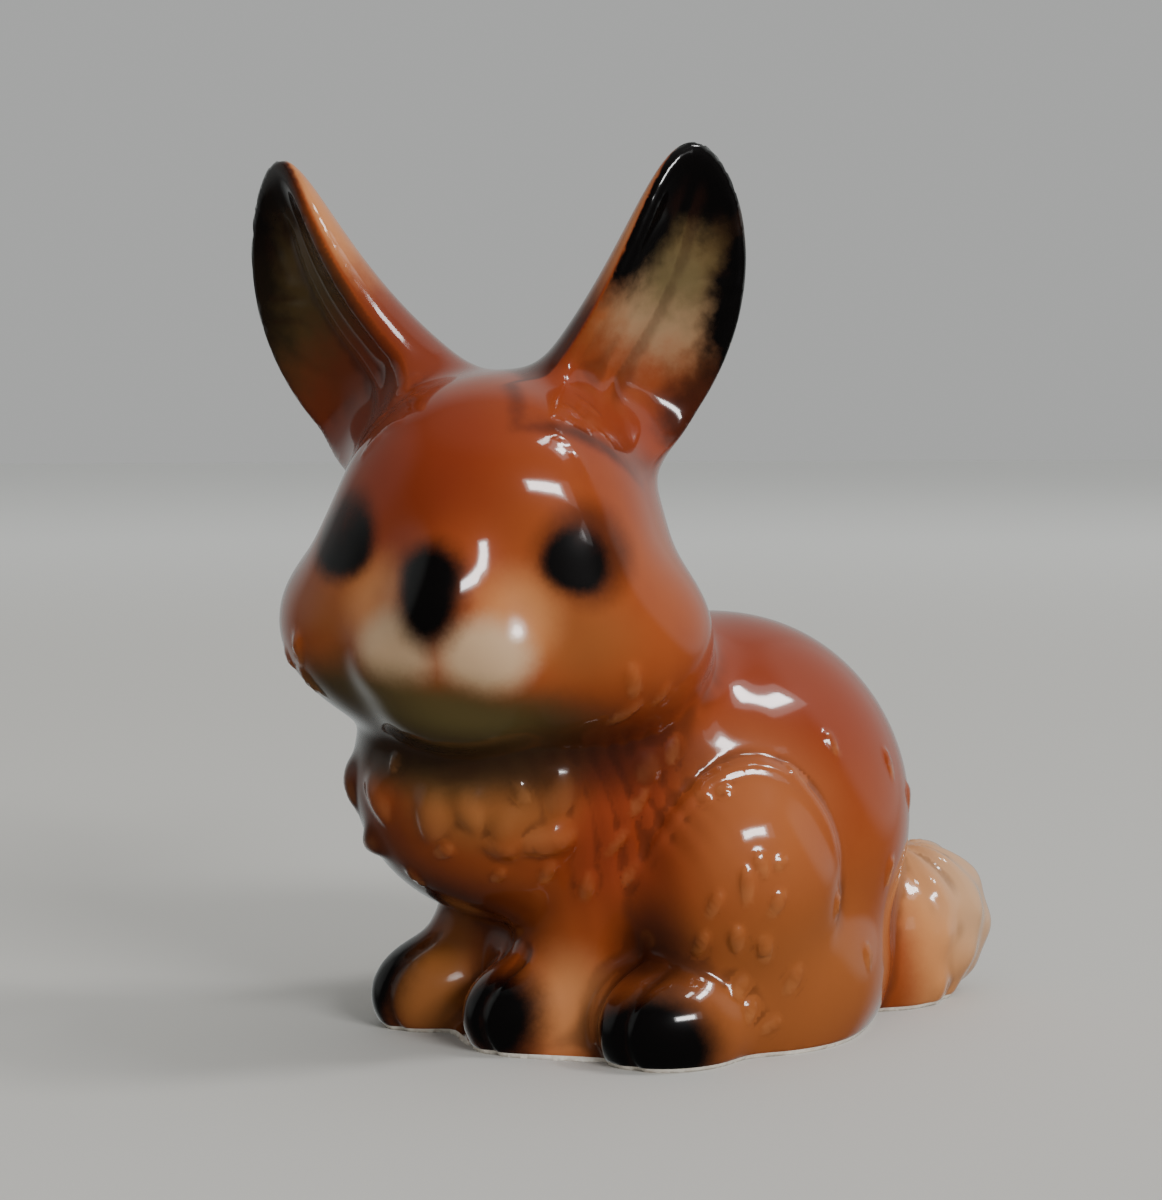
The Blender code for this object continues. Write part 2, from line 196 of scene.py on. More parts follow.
# Sprayed patches, laid over one another in this order: colour, frame, centre, radii, softness of the border
# as a share of the radii, strength. "pair" frames take x as its distance from the middle, for both sides.
# Ear frames run across (outer rim at 1), along (tip at 1) and from the lining (0) to the back (3).
# Some patches below are painted shade, painted shadow or painted highlight rather than the glaze's own
# colour; each is marked.
SPRAYS = (
    ("russet", "body", (0, 14, 39), (27, 25, 17), 0.4, 0.9),
    ("tan", "body pair", (23, 6, 6), (9, 20, 12), 0.6, 0.6),
    ("peach", "body pair", (18, 0.5, 25), (8.5, 8.5, 7.5), 0.65, 0.25),
    ("russet", "body pair", (15, -12.5, 27), (8, 7, 13), 0.55, 0.85),
    ("umber", "body", (0, -26, 24), (17, 10, 12), 0.5, 0.25),
    # Painted shade on the hare's right side of the chest.
    ("umber", "body", (-9, -28, 23), (13, 9, 14), 0.45, 0.95),
    # Painted shadow under the chin: a dark band across the top of the chest.
    ("umber", "body", (4, -27, 35.5), (17, 12, 4.6), 0.4, 0.85),
    # Painted shade under the chest, between the forelegs.
    ("umber", "body", (-2, -24, 15.5), (11.5, 9, 5.5), 0.55, 0.9),
    # Painted shade in the crease between each foreleg and thigh.
    ("umber", "body pair", (15.5, -8.5, 9), (4.8, 4.3, 7.2), 0.6, 0.8),
    ("tan", "body", (12, -26, 28.5), (6.5, 9, 5.8), 0.45, 0.85),
    ("tan", "body", (-5, -25, 7), (3.9, 5.5, 9), 0.45, 0.95),
    # Painted highlight: paler toes on the outer half of the left forepaw.
    ("peach", "body", (9.4, -15.4, 5), (4, 4.2, 5.4), 0.6, 0.75),
    ("black", "body", (-12.4, -28, 6), (5.6, 6.4, 8.5), 0.35, 1),
    ("umber", "body", (-1.4, -21, 4), (2.2, 5, 6), 0.6, 0.95),
    ("black", "body", (5.8, -21.3, 3.8), (4.8, 5.2, 5), 0.38, 1),
    ("black", "body pair", (20, -12.2, 2.5), (7.5, 7.6, 5.6), 0.32, 1),
    ("peach", "body", (2.5, 33.9, 7.5), (12, 9.8, 13), 0.2, 1),
    ("cream", "body", (4, 37.5, 10.5), (8, 7.5, 9), 0.5, 0.7),
    ("russet", "head", (-4, -14, 13), (9.5, 9, 11), 0.55, 1),
    ("russet", "head", (0, 6, 18), (18, 14, 12), 0.5, 0.8),
    ("tan", "head pair", (10.5, -14.5, -2.5), (6.5, 5.5, 4.5), 0.6, 0.5),
    ("peach", "head pair", (7, -18.5, -0.5), (3.6, 4, 4), 0.6, 0.7),
    ("cream", "head pair", (4.8, -21.5, -4.4), (4.4, 5, 3.6), 0.45, 1),
    # Painted shade and a painted greenish reflection of a dark ground, under the jaw.
    ("olive", "head", (-4, -15, -12.8), (17.5, 16, 6.4), 0.35, 0.9),
    # Painted shadow under the head and on the lower sides of the jaw.
    ("umber", "head", (0, -6, -15.5), (22, 14, 4.2), 0.5, 0.8),
    ("umber", "head pair", (12.5, -8, -11.5), (7.5, 9, 4), 0.7, 0.5),
    ("umber", "head pair", (11.9, -13.4, 5.4), (4.7, 5, 4.7), 0.36, 0.78),
    ("black", "head pair", (11.3, -13.9, 4.7), (3.1, 5, 3.3), 0.24, 1),
    ("black", "head", (-11.6, -13.6, 4.9), (3.9, 5.4, 4.2), 0.34, 1),
    ("black", "head", (-0.9, -21.5, 0.3), (3.4, 9, 4), 0.46, 1),
    ("black", "head", (-0.9, -21, 3), (3.4, 9, 2.9), 0.46, 1),
    ("russet", "ear left", (0, 0.22, 3), (1.8, 0.36, 3), 0.6, 0.9),
    ("russet", "ear right", (0, 0.2, 3), (1.8, 0.34, 3), 0.6, 0.85),
    ("umber", "ear left", (-0.4, 0.22, 2.8), (1.5, 0.28, 1.4), 0.5, 0.8),
    ("umber", "ear right", (0, 0.26, 3), (1.8, 0.3, 3), 0.6, 0.3),
    ("peach", "ear left", (0, 0.68, 3), (1.5, 0.28, 1.5), 0.5, 0.7),
    ("peach", "ear right", (0, 0.8, 3), (1.5, 0.32, 1.5), 0.5, 0.9),
    ("tan", "ear left", (0, 0.38, 0), (1, 0.22, 1.2), 0.5, 0.8),
    ("cream", "ear left", (-0.05, 0.5, 0), (0.7, 0.2, 1.2), 0.6, 0.7),
    ("russet", "ear left", (0, 0.14, 0), (1.2, 0.18, 1.2), 0.6, 0.6),
    ("olive", "ear left", (0, 0.72, 0), (0.9, 0.3, 1.2), 0.5, 0.85),
    ("umber", "ear left", (0.95, 0.18, 0), (0.45, 0.26, 1.2), 0.5, 0.85),
    ("black", "ear left", (0, 1.08, 0), (1.9, 0.36, 2.6), 0.22, 1),
    ("black", "ear left", (-1, 0.76, 0), (0.78, 0.32, 1.3), 0.3, 1),
    ("black", "ear left", (1.02, 0.58, 0), (0.52, 0.27, 1.3), 0.3, 1),
    # Painted shade over most of the right ear's lining, whose hollow faces away from the lights.
    ("umber", "ear right", (0.2, 0.55, 0), (1.4, 0.7, 1.2), 0.35, 0.8),
    ("olive", "ear right", (0.2, 0.58, 0), (0.9, 0.34, 1.2), 0.6, 0.62),
    ("russet", "ear right", (0.1, 0.16, 0), (1, 0.26, 1.2), 0.6, 0.6),
    ("black", "ear right", (0.9, 0.8, 0), (0.5, 0.34, 1.2), 0.5, 0.85),
    ("black", "ear right", (0, 1.08, 0), (1.9, 0.3, 2.6), 0.4, 0.92),
)

# Glaze: the clear coat over the sprayed colours, and how far the colour in hollows and on tufts differs.
GLAZE = (
    ("Roughness", 0.35),
    ("Specular IOR Level", 0.04),
    ("Coat Weight", 1.0),
    ("Coat Roughness", 0.07),
    ("Coat IOR", 1.45),
)
HOLLOW_REACH = 0.02
HOLLOW_DARK = 0.4
# Tufts are paler: thinner glaze on raised parts, and partly painted light on them.
RAISED_PALE = 0.45
MOTTLE = 0.25
RIPPLE_HEIGHT = 0.02
RIPPLE_STRENGTH = 0.25

# Soft boxes: name, azimuth to the right of the camera, elevation, distance, size, power in watts.
LIGHTS = (
    ("window", 34, 25.5, 3, (1.15, 0.32), 50),
    ("window halo", 34, 25.5, 3.03, (1.45, 0.5), 11),
    ("window glow", 38, 25.5, 3.05, (1.75, 0.65), 3.5),
    ("upper box", 78, 50, 3, (0.56, 0.26), 22),
    ("upper glow", 78, 50, 3.05, (1, 0.65), 4.5),
    ("top box", 67, 60, 3, (0.5, 0.2), 8),
)
# Pale parts of the room that only show softly in the glaze and fill the shade: azimuth, elevation, how far
# they reach in degrees, strength, share of the reach that has the full strength.
WALLS = (
    (180, 10, 70, 0.46, 0.5),
    (120, 24, 38, 0.55, 0.75),
    (-102, 22, 38, 0.28, 0.4),
    (0, 88, 45, 0.18, 0.35),
)
WALL_COLOUR = (0.88, 0.92, 0.90, 1.0)
DIM_ROOM = 0.06
BACKDROP_COLOUR = (0.72, 0.73, 0.72, 1.0)
BACKDROP_STRENGTH = 0.62

# Skylight: azimuth and elevation it comes from, strength, and how wide it is in degrees.
SKYLIGHT = (20.0, 55.0, 1.45, 120.0)

# Floor: half its side in metres, how rough it is, and where its colour fades, in hundredths of the height.
FLOOR_REACH = 9.0
FLOOR_ROUGHNESS = 0.8
# The floor turns paler far away: painted light that makes up for the lamps' light falling off with distance.
FLOOR_FADE = (300.0, 1600.0)

# Camera: rows of the photograph, its level row and focal length in pixels, and the camera's place aside,
# ahead and up, in hundredths of the height.
PHOTO_ROWS = 1200.0
LEVEL_ROW = 446.0
FOCAL_LENGTH = 2450.0
CAMERA_AT = (-8.0, -262.0, 62.0)
SENSOR_HEIGHT = 24.0


def turn(about, degrees):
    """Rotation matrix about one axis."""
    c = np.cos(np.radians(degrees))
    s = np.sin(np.radians(degrees))
    rows = {"x": [[1, 0, 0], [0, c, -s], [0, s, c]],
            "y": [[c, 0, s], [0, 1, 0], [-s, 0, c]],
            "z": [[c, -s, 0], [s, c, 0], [0, 0, 1]]}
    return np.array(rows[about], dtype=float)


HEAD_AXES = turn("z", HEAD_TURN) @ turn("x", HEAD_NOD) @ turn("y", HEAD_TILT)


def smoothstep(low, high, x):
    """Runs from 0 at low to 1 at high with level ends: t t (3 - 2 t). Low may be the larger."""
    t = np.clip((x - low) / (high - low), 0.0, 1.0)
    return t * t * (3.0 - 2.0 * t)


def ellipsoid(p, centre, radii, axes=None):
    """Distance to an ellipsoid, good near it: k0 (k0 - 1) / k1, with k0 = |q / r| and k1 = |q / r r|."""
    q = p - np.asarray(centre)
    if axes is not None:
        q = q @ axes
    r = np.asarray(radii, dtype=float)
    k0 = np.sqrt(((q / r) ** 2).sum(axis=1)) + 1e-9
    k1 = np.sqrt(((q / (r * r)) ** 2).sum(axis=1)) + 1e-9
    return k0 * (k0 - 1.0) / k1


def rod(p, start, end, start_radius, end_radius):
    """Distance to a rounded rod: distance to the middle line less a radius that runs evenly along it."""
    a = np.asarray(start, dtype=float)
    d = np.asarray(end, dtype=float) - a
    t = np.clip(((p - a) @ d) / (d @ d), 0.0, 1.0)
    return np.linalg.norm(p - a - t[:, None] * d, axis=1) - (start_radius + (end_radius - start_radius) * t)


def blend(a, b, width):
    """Soft union: the smaller distance less h h h w / 6, where h = 1 - |a - b| / w."""
    if width <= 0.0:
        return np.minimum(a, b)
    h = np.maximum(width - np.abs(a - b), 0.0) / width
    return np.minimum(a, b) - h ** 3 * width / 6.0


def carve(a, b, width):
    """Form a with form b taken out of it, softly."""
    return -blend(-a, b, width)


def both_sides(centre):
    """A centre and, where it is off the middle, its mirror image."""
    x, y, z = centre
    return (centre, (-x, y, z)) if x > 0.0 else (centre,)


def square_to(v, n):
    """Direction of v once its part along n is taken off."""
    v = v - (v @ n) * n
    return v / np.linalg.norm(v)


def ear_frame(side):
    """Foot, axes (across, out of the hollow, along), length and bow of one ear, in the head's frame."""
    foot, tip, bend, opening = EAR[side]
    foot = np.array(foot)
    along = np.array(tip) - foot
    length = np.linalg.norm(along)
    along = along / length
    a = np.radians(opening)
    face = np.array([np.sin(a), -np.cos(a), 0.0])
    face = square_to(face, along)
    out = square_to(np.array([np.sign(foot[0]), 0.0, 0.0]), along)
    axes = np.stack([np.cross(along, face), face, along], axis=1)
    return foot, axes, length, bend * (out @ axes)


def ear_place(q, side):
    """Across, height over the middle plane, share of the length, and half width and depth there."""
    foot, axes, length, bow = ear_frame(side)
    e = (q - foot) @ axes
    t = e[:, 2] / length
    held = np.clip(t, -EAR_ROOT, 0.995)
    e = e - (4.0 * held * (1.0 - held))[:, None] * bow
    up = np.maximum(held, 0.0)
    root = np.sqrt(np.clip(1.0 - (np.minimum(t, 0.0) / EAR_ROOT) ** 2, 0.02, 1.0))
    wide = EAR_WIDE[side] * np.sqrt(1.0 - up ** 2.8) * root
    deep = EAR_DEEP[side] * np.sqrt(1.0 - up) * root
    return e[:, 0], e[:, 1], t, wide, deep, length


def ear_hollow(x, t, wide, deep):
    """Height of the rim over the middle plane, how far the dish is open there, and its round section."""
    rim = EAR_RIM * deep + (1.0 - smoothstep(-0.12, 0.22, t)) * (0.8 * deep)
    shown = smoothstep(0.0, 0.32, t) * (1.0 - smoothstep(0.75, 1.0, t))
    return rim, shown, np.maximum(0.0, 1.0 - (x / (0.86 * wide)) ** 2)


def ear(q, side, fine):
    """Oval section that narrows to the tip on a bowed line, cut by a hollow face.

    The face is the rim's height less a dish that is deepest in the middle. The finer form adds a long fold
    beside the inner rim and slanting hair grooves from the fold to the outer rim.
    """
    x, y, t, wide, deep, length = ear_place(q, side)
    section = (np.sqrt((x / wide) ** 2 + (y / deep) ** 2) - 1.0) * np.minimum(wide, deep)
    past = np.maximum(np.maximum(t - 0.995, -EAR_ROOT - t), 0.0) * length
    shell = np.where(past > 0.0, np.sqrt(np.maximum(section, 0.0) ** 2 + past ** 2), section)
    rim, shown, cup = ear_hollow(x, t, wide, deep)
    dish = EAR_HOLLOW * shown * cup
    if fine:
        outward = 1.0 if side == "left" else -1.0
        w = outward * x / wide
        fold = groove(w + 0.34 - 0.25 * t, 0.10) - 0.8 * groove(w + 0.14 - 0.25 * t, 0.12)
        comb = 6.0 * t - 1.9 * w + 0.45 * np.sin(9.0 * t + 1.0) + 0.20 * np.sin(21.0 * t)
        hair = np.cos(2.0 * np.pi * comb) * smoothstep(0.0, 0.45, w) * (1.0 - smoothstep(0.75, 0.95, w))
        furrow = np.cos(2.0 * np.pi * (1.9 * w + 0.4 * t)) * (1.0 - smoothstep(0.1, 0.45, t))
        furrow = furrow * smoothstep(-0.05, 0.08, t)
        dish = dish - EAR_FOLD * fold * smoothstep(0.0, 0.2, t) * (1.0 - smoothstep(0.7, 0.95, t))
        dish = dish + EAR_HAIR[side] * hair * shown * smoothstep(0.25, 0.45, t) + EAR_FURROW * furrow * cup
    return -blend(-shell, -0.9 * (y - rim + dish), 1.3 if fine else 2.0)


def with_forms(f, q, rows):
    """A form with rows of ellipsoids blended onto it, on both sides where they are off the middle."""
    for _name, centre, radii, width in rows:
        for at in both_sides(centre):
            f = blend(f, ellipsoid(q, at, radii), width)
    return f


def head(q, fine):
    """Head with ears, in the head's own frame."""
    f = with_forms(np.full(len(q), FAR_OFF), q, SKULL)
    centre, radii, width = EYE_SOCKET
    for at in both_sides(centre):
        f = carve(f, ellipsoid(q, at, radii), width)
    f = with_forms(f, q, FACE)
    for side in EAR:
        f = blend(f, ear(q, side, fine), EAR_BLEND)
    return with_forms(f, q, EYES)


def trunk(p):
    """Rump, seat, ribs, chest and neck."""
    f = np.full(len(p), FAR_OFF)
    for _name, centre, radii, width in TRUNK:
        f = blend(f, ellipsoid(p, centre, radii), width)
    return f


def body(p):
    """Trunk, legs and tail."""
    f = trunk(p)
    for _name, centre, radii, angle, width in HIND_LEG:
        for at in both_sides(centre):
            f = blend(f, ellipsoid(p, at, radii, turn("z", np.sign(at[0]) * angle)), width)
    for elbow, wrist, paw, radii in FORELEG.values():
        f = blend(f, rod(p, elbow, wrist, ELBOW_RADIUS, WRIST_RADIUS), FORELEG_BLEND)
        f = blend(f, ellipsoid(p, paw, radii), PAW_BLEND)
    f = blend(f, ellipsoid(p, *BELLY), UNDER_BLEND)
    f = blend(f, ellipsoid(p, *BREAST), UNDER_BLEND)
    tail = ellipsoid(p, *TAIL, turn("x", TAIL_LEAN))
    tail = blend(tail, ellipsoid(p, *TAIL_ROOT), TAIL_ROOT_BLEND)
    return blend(f, tail, UNDER_BLEND)


def figure(p, fine=False, tufts=()):
    """The whole hare: negative inside, zero on the surface."""
    q = (p - HEAD_AT) @ HEAD_AXES
    f = blend(body(p), head(q, fine), HEAD_BLEND)
    if fine:
        f = f + thigh_rim(p) + toe_grooves(p) + tail_furrows(p) + coat_strokes(p)
    for tuft in tufts:
        near = np.flatnonzero(((p - tuft["at"]) ** 2).sum(axis=1) < (2.0 * max(tuft["radii"]) + 1.0) ** 2)
        if len(near):
            f[near] = blend(f[near], teardrop(p[near], tuft), tuft["soft"])
    return f


def teardrop(p, tuft):
    """Ellipsoid that narrows to one end: its width is divided by 1 + 0.45 u, u the place along it."""
    q = (p - tuft["at"]) @ tuft["axes"]
    along = np.clip(q[:, 0] / tuft["radii"][0], -1.2, 1.2)
    q[:, 1] = q[:, 1] / (1.0 + 0.45 * along)
    return ellipsoid(q, (0.0, 0.0, 0.0), tuft["radii"])


def groove(x, width):
    """Bell-shaped profile across x: 1 in the middle, falling as exp of minus (x / width) squared."""
    return np.exp(-(x / width) ** 2)


def thigh_rim(p):
    """Rounded bead along the upper edge of each thigh with a shallow groove inside it.

    Both run where the distance to the thigh less the distance to the trunk keeps a value.
    """
    middle = trunk(p)
    _name, centre, radii, angle, _width = HIND_LEG[0]
    f = np.zeros(len(p))
    for at in both_sides(centre):
        u = ellipsoid(p, at, radii, turn("z", np.sign(at[0]) * angle)) - middle
        upper = smoothstep(17.0, 24.0, p[:, 2]) * smoothstep(-14.0, -6.0, p[:, 1]) * (p[:, 0] * at[0] > 0.0)
        f += upper * (THIGH_GROOVE * groove(u + 2.1, 0.8) - THIGH_BEAD * groove(u + 0.5, 0.5))
    return f


def toe_grooves(p):
    """Two grooves along the front of each paw and each hind foot."""
    f = np.zeros(len(p))
    _name, foot, _radii, angle, _width = HIND_LEG[2]
    for _elbow, _wrist, paw, _radii in FORELEG.values():
        x, y, z = (p - np.array(paw)).T
        front = smoothstep(0.5, -3.5, y) * smoothstep(-12.0, -9.0, y) * smoothstep(8.0, 6.0, z)
        f += TOE_GROOVE * front * (groove(x - 2.1, 0.55) + groove(x + 2.1, 0.55)) * (np.abs(x) < 6.5)
    for at in both_sides(foot):
        x, y, z = ((p - np.array(at)) @ turn("z", np.sign(at[0]) * angle)).T
        front = smoothstep(-1.0, -4.5, y) * smoothstep(-13.0, -10.0, y) * smoothstep(8.0, 6.0, z)
        f += TOE_GROOVE * front * (groove(x - 2.4, 0.6) + groove(x + 2.2, 0.6)) * (np.abs(x) < 8.0)
    return f


def tail_furrows(p):
    """Upright wavy furrows in the fur of the tail, with a few dimples between them."""
    q = p - np.array(TAIL[0])
    around = np.arctan2(q[:, 0], q[:, 1] + 2.0)
    on_tail = smoothstep(-5.0, -1.0, q[:, 1]) * (1.0 - smoothstep(10.5, 12.5, np.linalg.norm(q, axis=1)))
    wave = np.cos(10.0 * around + 0.9 * np.sin(0.5 * q[:, 2]) + 0.8 * np.sin(2.0 * around))
    dimple = np.cos(5.0 * around + 1.5) * np.cos(1.1 * q[:, 2] + 0.6)
    return on_tail * (TAIL_WAVE * wave + TAIL_DIMPLE * dimple)


def coat_strokes(p):
    """Fine slanting strokes on shoulders and chest: waves across the lie of the coat, bent by slow waves."""
    x, y, z = p.T
    shoulder = np.exp(-(((y + 13.0) / 7.5) ** 2 + ((z - 25.0) / 9.0) ** 2 + ((np.abs(x) - 15.0) / 6.0) ** 2))
    lie = 0.95 * y + 0.35 * z + 0.6 * np.sin(0.30 * z + 0.2 * y)
    return COAT_STROKE * shoulder * np.cos(2.0 * np.pi * lie / COAT_STROKE_GAP)


def surface_toward(centre, axes, azimuth, elevation, shape):
    """Points where rays from a centre leave a shape, and the outward normals there, for arrays of angles."""
    a = np.radians(np.asarray(azimuth, dtype=float))
    e = np.radians(np.asarray(elevation, dtype=float))
    ray = np.stack([np.sin(a) * np.cos(e), -np.cos(a) * np.cos(e), np.sin(e)], axis=1) @ axes.T
    far = np.full(len(a), 60.0)
    found = np.zeros(len(a), dtype=bool)
    for reach in np.linspace(60.0, 1.0, 119):
        inside = shape(centre + ray * reach) < 0.0
        far = np.where(inside & ~found, reach, far)
        found |= inside
    low, high = far, far + 0.5
    for _ in range(12):
        middle = (low + high) / 2.0
        inside = shape(centre + ray * middle[:, None]) < 0.0
        low = np.where(inside, middle, low)
        high = np.where(inside, high, middle)
    point = centre + ray * low[:, None]
    return point, slope_of(shape, point, unit=True)


def ear_chart(points, side):
    """Across (outer rim at 1), along (tip at 1) and 0 on the lining, 3 on the back, more off the ear."""
    q = (points - HEAD_AT) @ HEAD_AXES
    x, y, t, wide, deep, _length = ear_place(q, side)
    outward = 1.0 if side == "left" else -1.0
    rim, shown, cup = ear_hollow(x, t, wide, deep)
    lining = smoothstep(-1.3, -0.3, y - rim + EAR_HOLLOW * shown * cup)
    off = np.maximum(smoothstep(1.15, 1.8, np.abs(x) / wide), 1.0 - smoothstep(-0.20, 0.15, t))
    off = np.maximum(off, smoothstep(1.2, 1.9, np.abs(y) / deep))
    return np.stack([outward * x / wide, t, 3.0 * (1.0 - lining) + 5.0 * off], axis=1)


def slope_of(shape, points, reach=0.03, unit=False):
    """Gradient of a shape's distance by central differences."""
    g = np.stack([shape(points + reach * side) - shape(points - reach * side) for side in np.eye(3)], axis=1)
    g = g / (2.0 * reach)
    return g / np.linalg.norm(g, axis=1)[:, None] if unit else g


def tuft_forms(entries, centre, axes, shape, lift_scale):
    """Leaf-shaped tufts: each is an ellipsoid sunk so that only its cap stands out of the surface."""
    rows = np.array(entries, dtype=float)
    points, normals = surface_toward(centre, axes, rows[:, 0], rows[:, 1], shape)
    made = []
    up = axes @ np.array([0.0, 0.0, 1.0])
    for (_a, _e, lean, length, width, lift), at, n in zip(rows, points, normals):
        rise = square_to(up, n)
        side = np.cross(rise, n)
        c, s = np.cos(np.radians(lean)), np.sin(np.radians(lean))
        along = c * rise + s * side
        lift = lift * lift_scale
        local = np.stack([along, np.cross(n, along), n], axis=1)
        radii = (length / 1.732, width / 1.732, 2.0 * lift)
        soft = 0.5 if width < 1.7 else 1.5
        made.append({"at": at - n * lift, "axes": local, "radii": radii, "soft": soft})
    return made


def mirrored(entries):
    """The same tufts on the right side."""
    return tuple((-a, e, -lean, length, width, lift) for a, e, lean, length, width, lift in entries)


def close_pinches(value):
    """Fills grid squares whose inside corners touch only across a diagonal, so no edge joins four faces."""
    for _ in range(4):
        found = 0
        for axis in range(3):
            first, second = [n for n in range(3) if n != axis]
            corner = []
            for i, j in ((0, 0), (1, 0), (1, 1), (0, 1)):
                part = [slice(None)] * 3
                part[first] = slice(i, value.shape[first] - 1 + i)
                part[second] = slice(j, value.shape[second] - 1 + j)
                corner.append(value[tuple(part)])
            a, b, c, d = [part < 0.0 for part in corner]
            pinched = (a == c) & (b == d) & (a != b)
            found += pinched.sum()
            for part in corner:
                part[pinched & (part >= 0.0)] = -1e-3
        if found == 0:
            break
    return value


def level_surface(shape_of, low, high, step):
    """Quads on the zero of a shape: a point in each grid cell it passes, a quad for each edge it cuts."""
    axes = [np.arange(a, b + step, step) for a, b in zip(low, high)]
    shape = tuple(len(a) for a in axes)
    grid = np.stack(np.meshgrid(*axes, indexing="ij"), axis=-1).reshape(-1, 3)
    value = np.concatenate([shape_of(part) for part in np.array_split(grid, 12)]).reshape(shape)
    value = close_pinches(value)
    inside = value < 0.0
    cells = tuple(n - 1 for n in shape)
    total = np.zeros(cells + (3,))
    count = np.zeros(cells)
    for a in [(i, j, k) for i in (0, 1) for j in (0, 1) for k in (0, 1)]:
        for axis in range(3):
            if a[axis] == 1:
                continue
            b = tuple(a[n] + (1 if n == axis else 0) for n in range(3))
            va = value[tuple(slice(a[n], a[n] + cells[n]) for n in range(3))]
            vb = value[tuple(slice(b[n], b[n] + cells[n]) for n in range(3))]
            cut = (va < 0.0) != (vb < 0.0)
            share = np.where(cut, va / np.where(cut, va - vb, 1.0), 0.0)
            for n in range(3):
                total[..., n] += np.where(cut, a[n] + (share if n == axis else 0.0), 0.0)
            count += cut
    used = count > 0
    number = np.full(cells, -1)
    number[used] = np.arange(used.sum())
    points = np.asarray(low) + (np.argwhere(used) + total[used] / count[used][:, None]) * step
    quads = []
    for axis in range(3):
        span = tuple(slice(0, shape[n] - 1) if n == axis else slice(1, shape[n] - 1) for n in range(3))
        ahead = tuple(slice(1, shape[n]) if n == axis else slice(1, shape[n] - 1) for n in range(3))
        others = [n for n in range(3) if n != axis]
        first, second = inside[span], inside[ahead]
        for flip, at in ((False, np.argwhere(first & ~second)), (True, np.argwhere(~first & second))):
            at = at + np.array([0 if n == axis else 1 for n in range(3)])
            ring = []
            for du, dv in ((1, 1), (0, 1), (0, 0), (1, 0)):
                back = at.copy()
                back[:, others[0]] -= du
                back[:, others[1]] -= dv
                ring.append(number[back[:, 0], back[:, 1], back[:, 2]])
            ring = np.stack(ring, axis=1)
            quads.append(ring[:, ::-1] if flip != (axis == 1) else ring)
    return points, np.concatenate(quads)


def split_quads(points, quads):
    """Each quad becomes four: new points at the middle of every edge and of every quad."""
    edges = np.sort(np.concatenate([quads[:, [i, (i + 1) % 4]] for i in range(4)]), axis=1)
    unique, back = np.unique(edges, axis=0, return_inverse=True)
    middle = back.reshape(4, len(quads)) + len(points)
    centre = np.arange(len(quads)) + len(points) + len(unique)
    finer = np.concatenate([points, points[unique].mean(axis=1), points[quads].mean(axis=1)])
    parts = [np.stack([quads[:, i], middle[i], centre, middle[i - 1]], axis=1) for i in range(4)]
    return finer, np.concatenate(parts)


def neighbour_mean(values, quads, count):
    """Mean over each point's neighbours along the quad edges, for one value or a vector a point."""
    columns = values.reshape(len(values), -1)
    total = np.zeros_like(columns)
    weight = np.zeros(count)
    for i in range(4):
        for j in ((i + 1) % 4, (i - 1) % 4):
            weight += np.bincount(quads[:, i], minlength=count)
            for n in range(columns.shape[1]):
                total[:, n] += np.bincount(quads[:, i], weights=columns[quads[:, j], n], minlength=count)
    return (total / weight[:, None]).reshape(values.shape)


def settle(points, shape, rounds, furthest=0.5):
    """Moves points onto the zero of a shape along its gradient, a limited way each round."""
    for _ in range(rounds):
        value = shape(points)
        slope = slope_of(shape, points)
        move = value / np.maximum((slope ** 2).sum(axis=1), 0.2)
        points = points - np.clip(move, -furthest, furthest)[:, None] * slope
    return points


def ease(points, quads, shape, rounds):
    """Evens out the spacing: points move half way to their neighbours' mean, but only along the surface."""
    for _ in range(rounds):
        step = neighbour_mean(points, quads, len(points)) - points
        n = slope_of(shape, points, unit=True)
        points = points + 0.5 * (step - (step * n).sum(axis=1)[:, None] * n)
    return points


def hex_colour(text):
    """Linear colour of a six-digit sRGB hex code."""
    value = [int(text[i:i + 2], 16) / 255.0 for i in (0, 2, 4)]
    return tuple(v / 12.92 if v <= 0.04045 else ((v + 0.055) / 1.055) ** 2.4 for v in value) + (1.0,)


class HareShape(bpy.types.PropertyGroup):
    """Sizes of the finer form."""
    grid_step: bpy.props.FloatProperty(
        name="Grid step", default=1.0, min=0.6, max=2.0,
        description="Sampling step of the surface before it is split, in hundredths of the height")
    tuft_lift: bpy.props.FloatProperty(
        name="Tuft lift", default=1.0, min=0.0, max=2.0,
        description="How far the tufts stand out, as a multiple of the modelled lift")
    bare_rim: bpy.props.FloatProperty(
        name="Bare rim", default=0.0005, min=0.0, max=0.003, unit="LENGTH",
        description="Height of the unglazed edge round the underside")


def colour_property(name, code, description):
    """Colour that can be chosen in the panel."""
    return bpy.props.FloatVectorProperty(name=name, subtype="COLOR", size=4, default=hex_colour(code),
                                         description=description)


class HareGlaze(bpy.types.PropertyGroup):
    """Colours of the sprayed porcelain, and of the painted shade, reflection and highlights laid over it."""
    coat: colour_property("Coat", "8c431e", "Main orange-brown")
    russet: colour_property("Russet", "7a2f17", "Red-brown of back and brow")
    umber: colour_property("Umber", "28110a", "Dark brown of the shadows")
    black: colour_property("Black", "060404", "Sprayed black")
    cream: colour_property("Cream", "b39474", "Muzzle and ear lining")
    peach: colour_property("Peach", "b87a4a", "Tail and edges of the ears")
    tan: colour_property("Tan", "865229", "Paler flank and feet")
    # Olive is painted shade and painted reflection under the jaw, and the ear linings' own grey-brown.
    olive: colour_property("Olive", "4c4527", "Grey-brown under the jaw")
    bare: colour_property("Bare porcelain", "dcd6ca", "Unglazed rim")


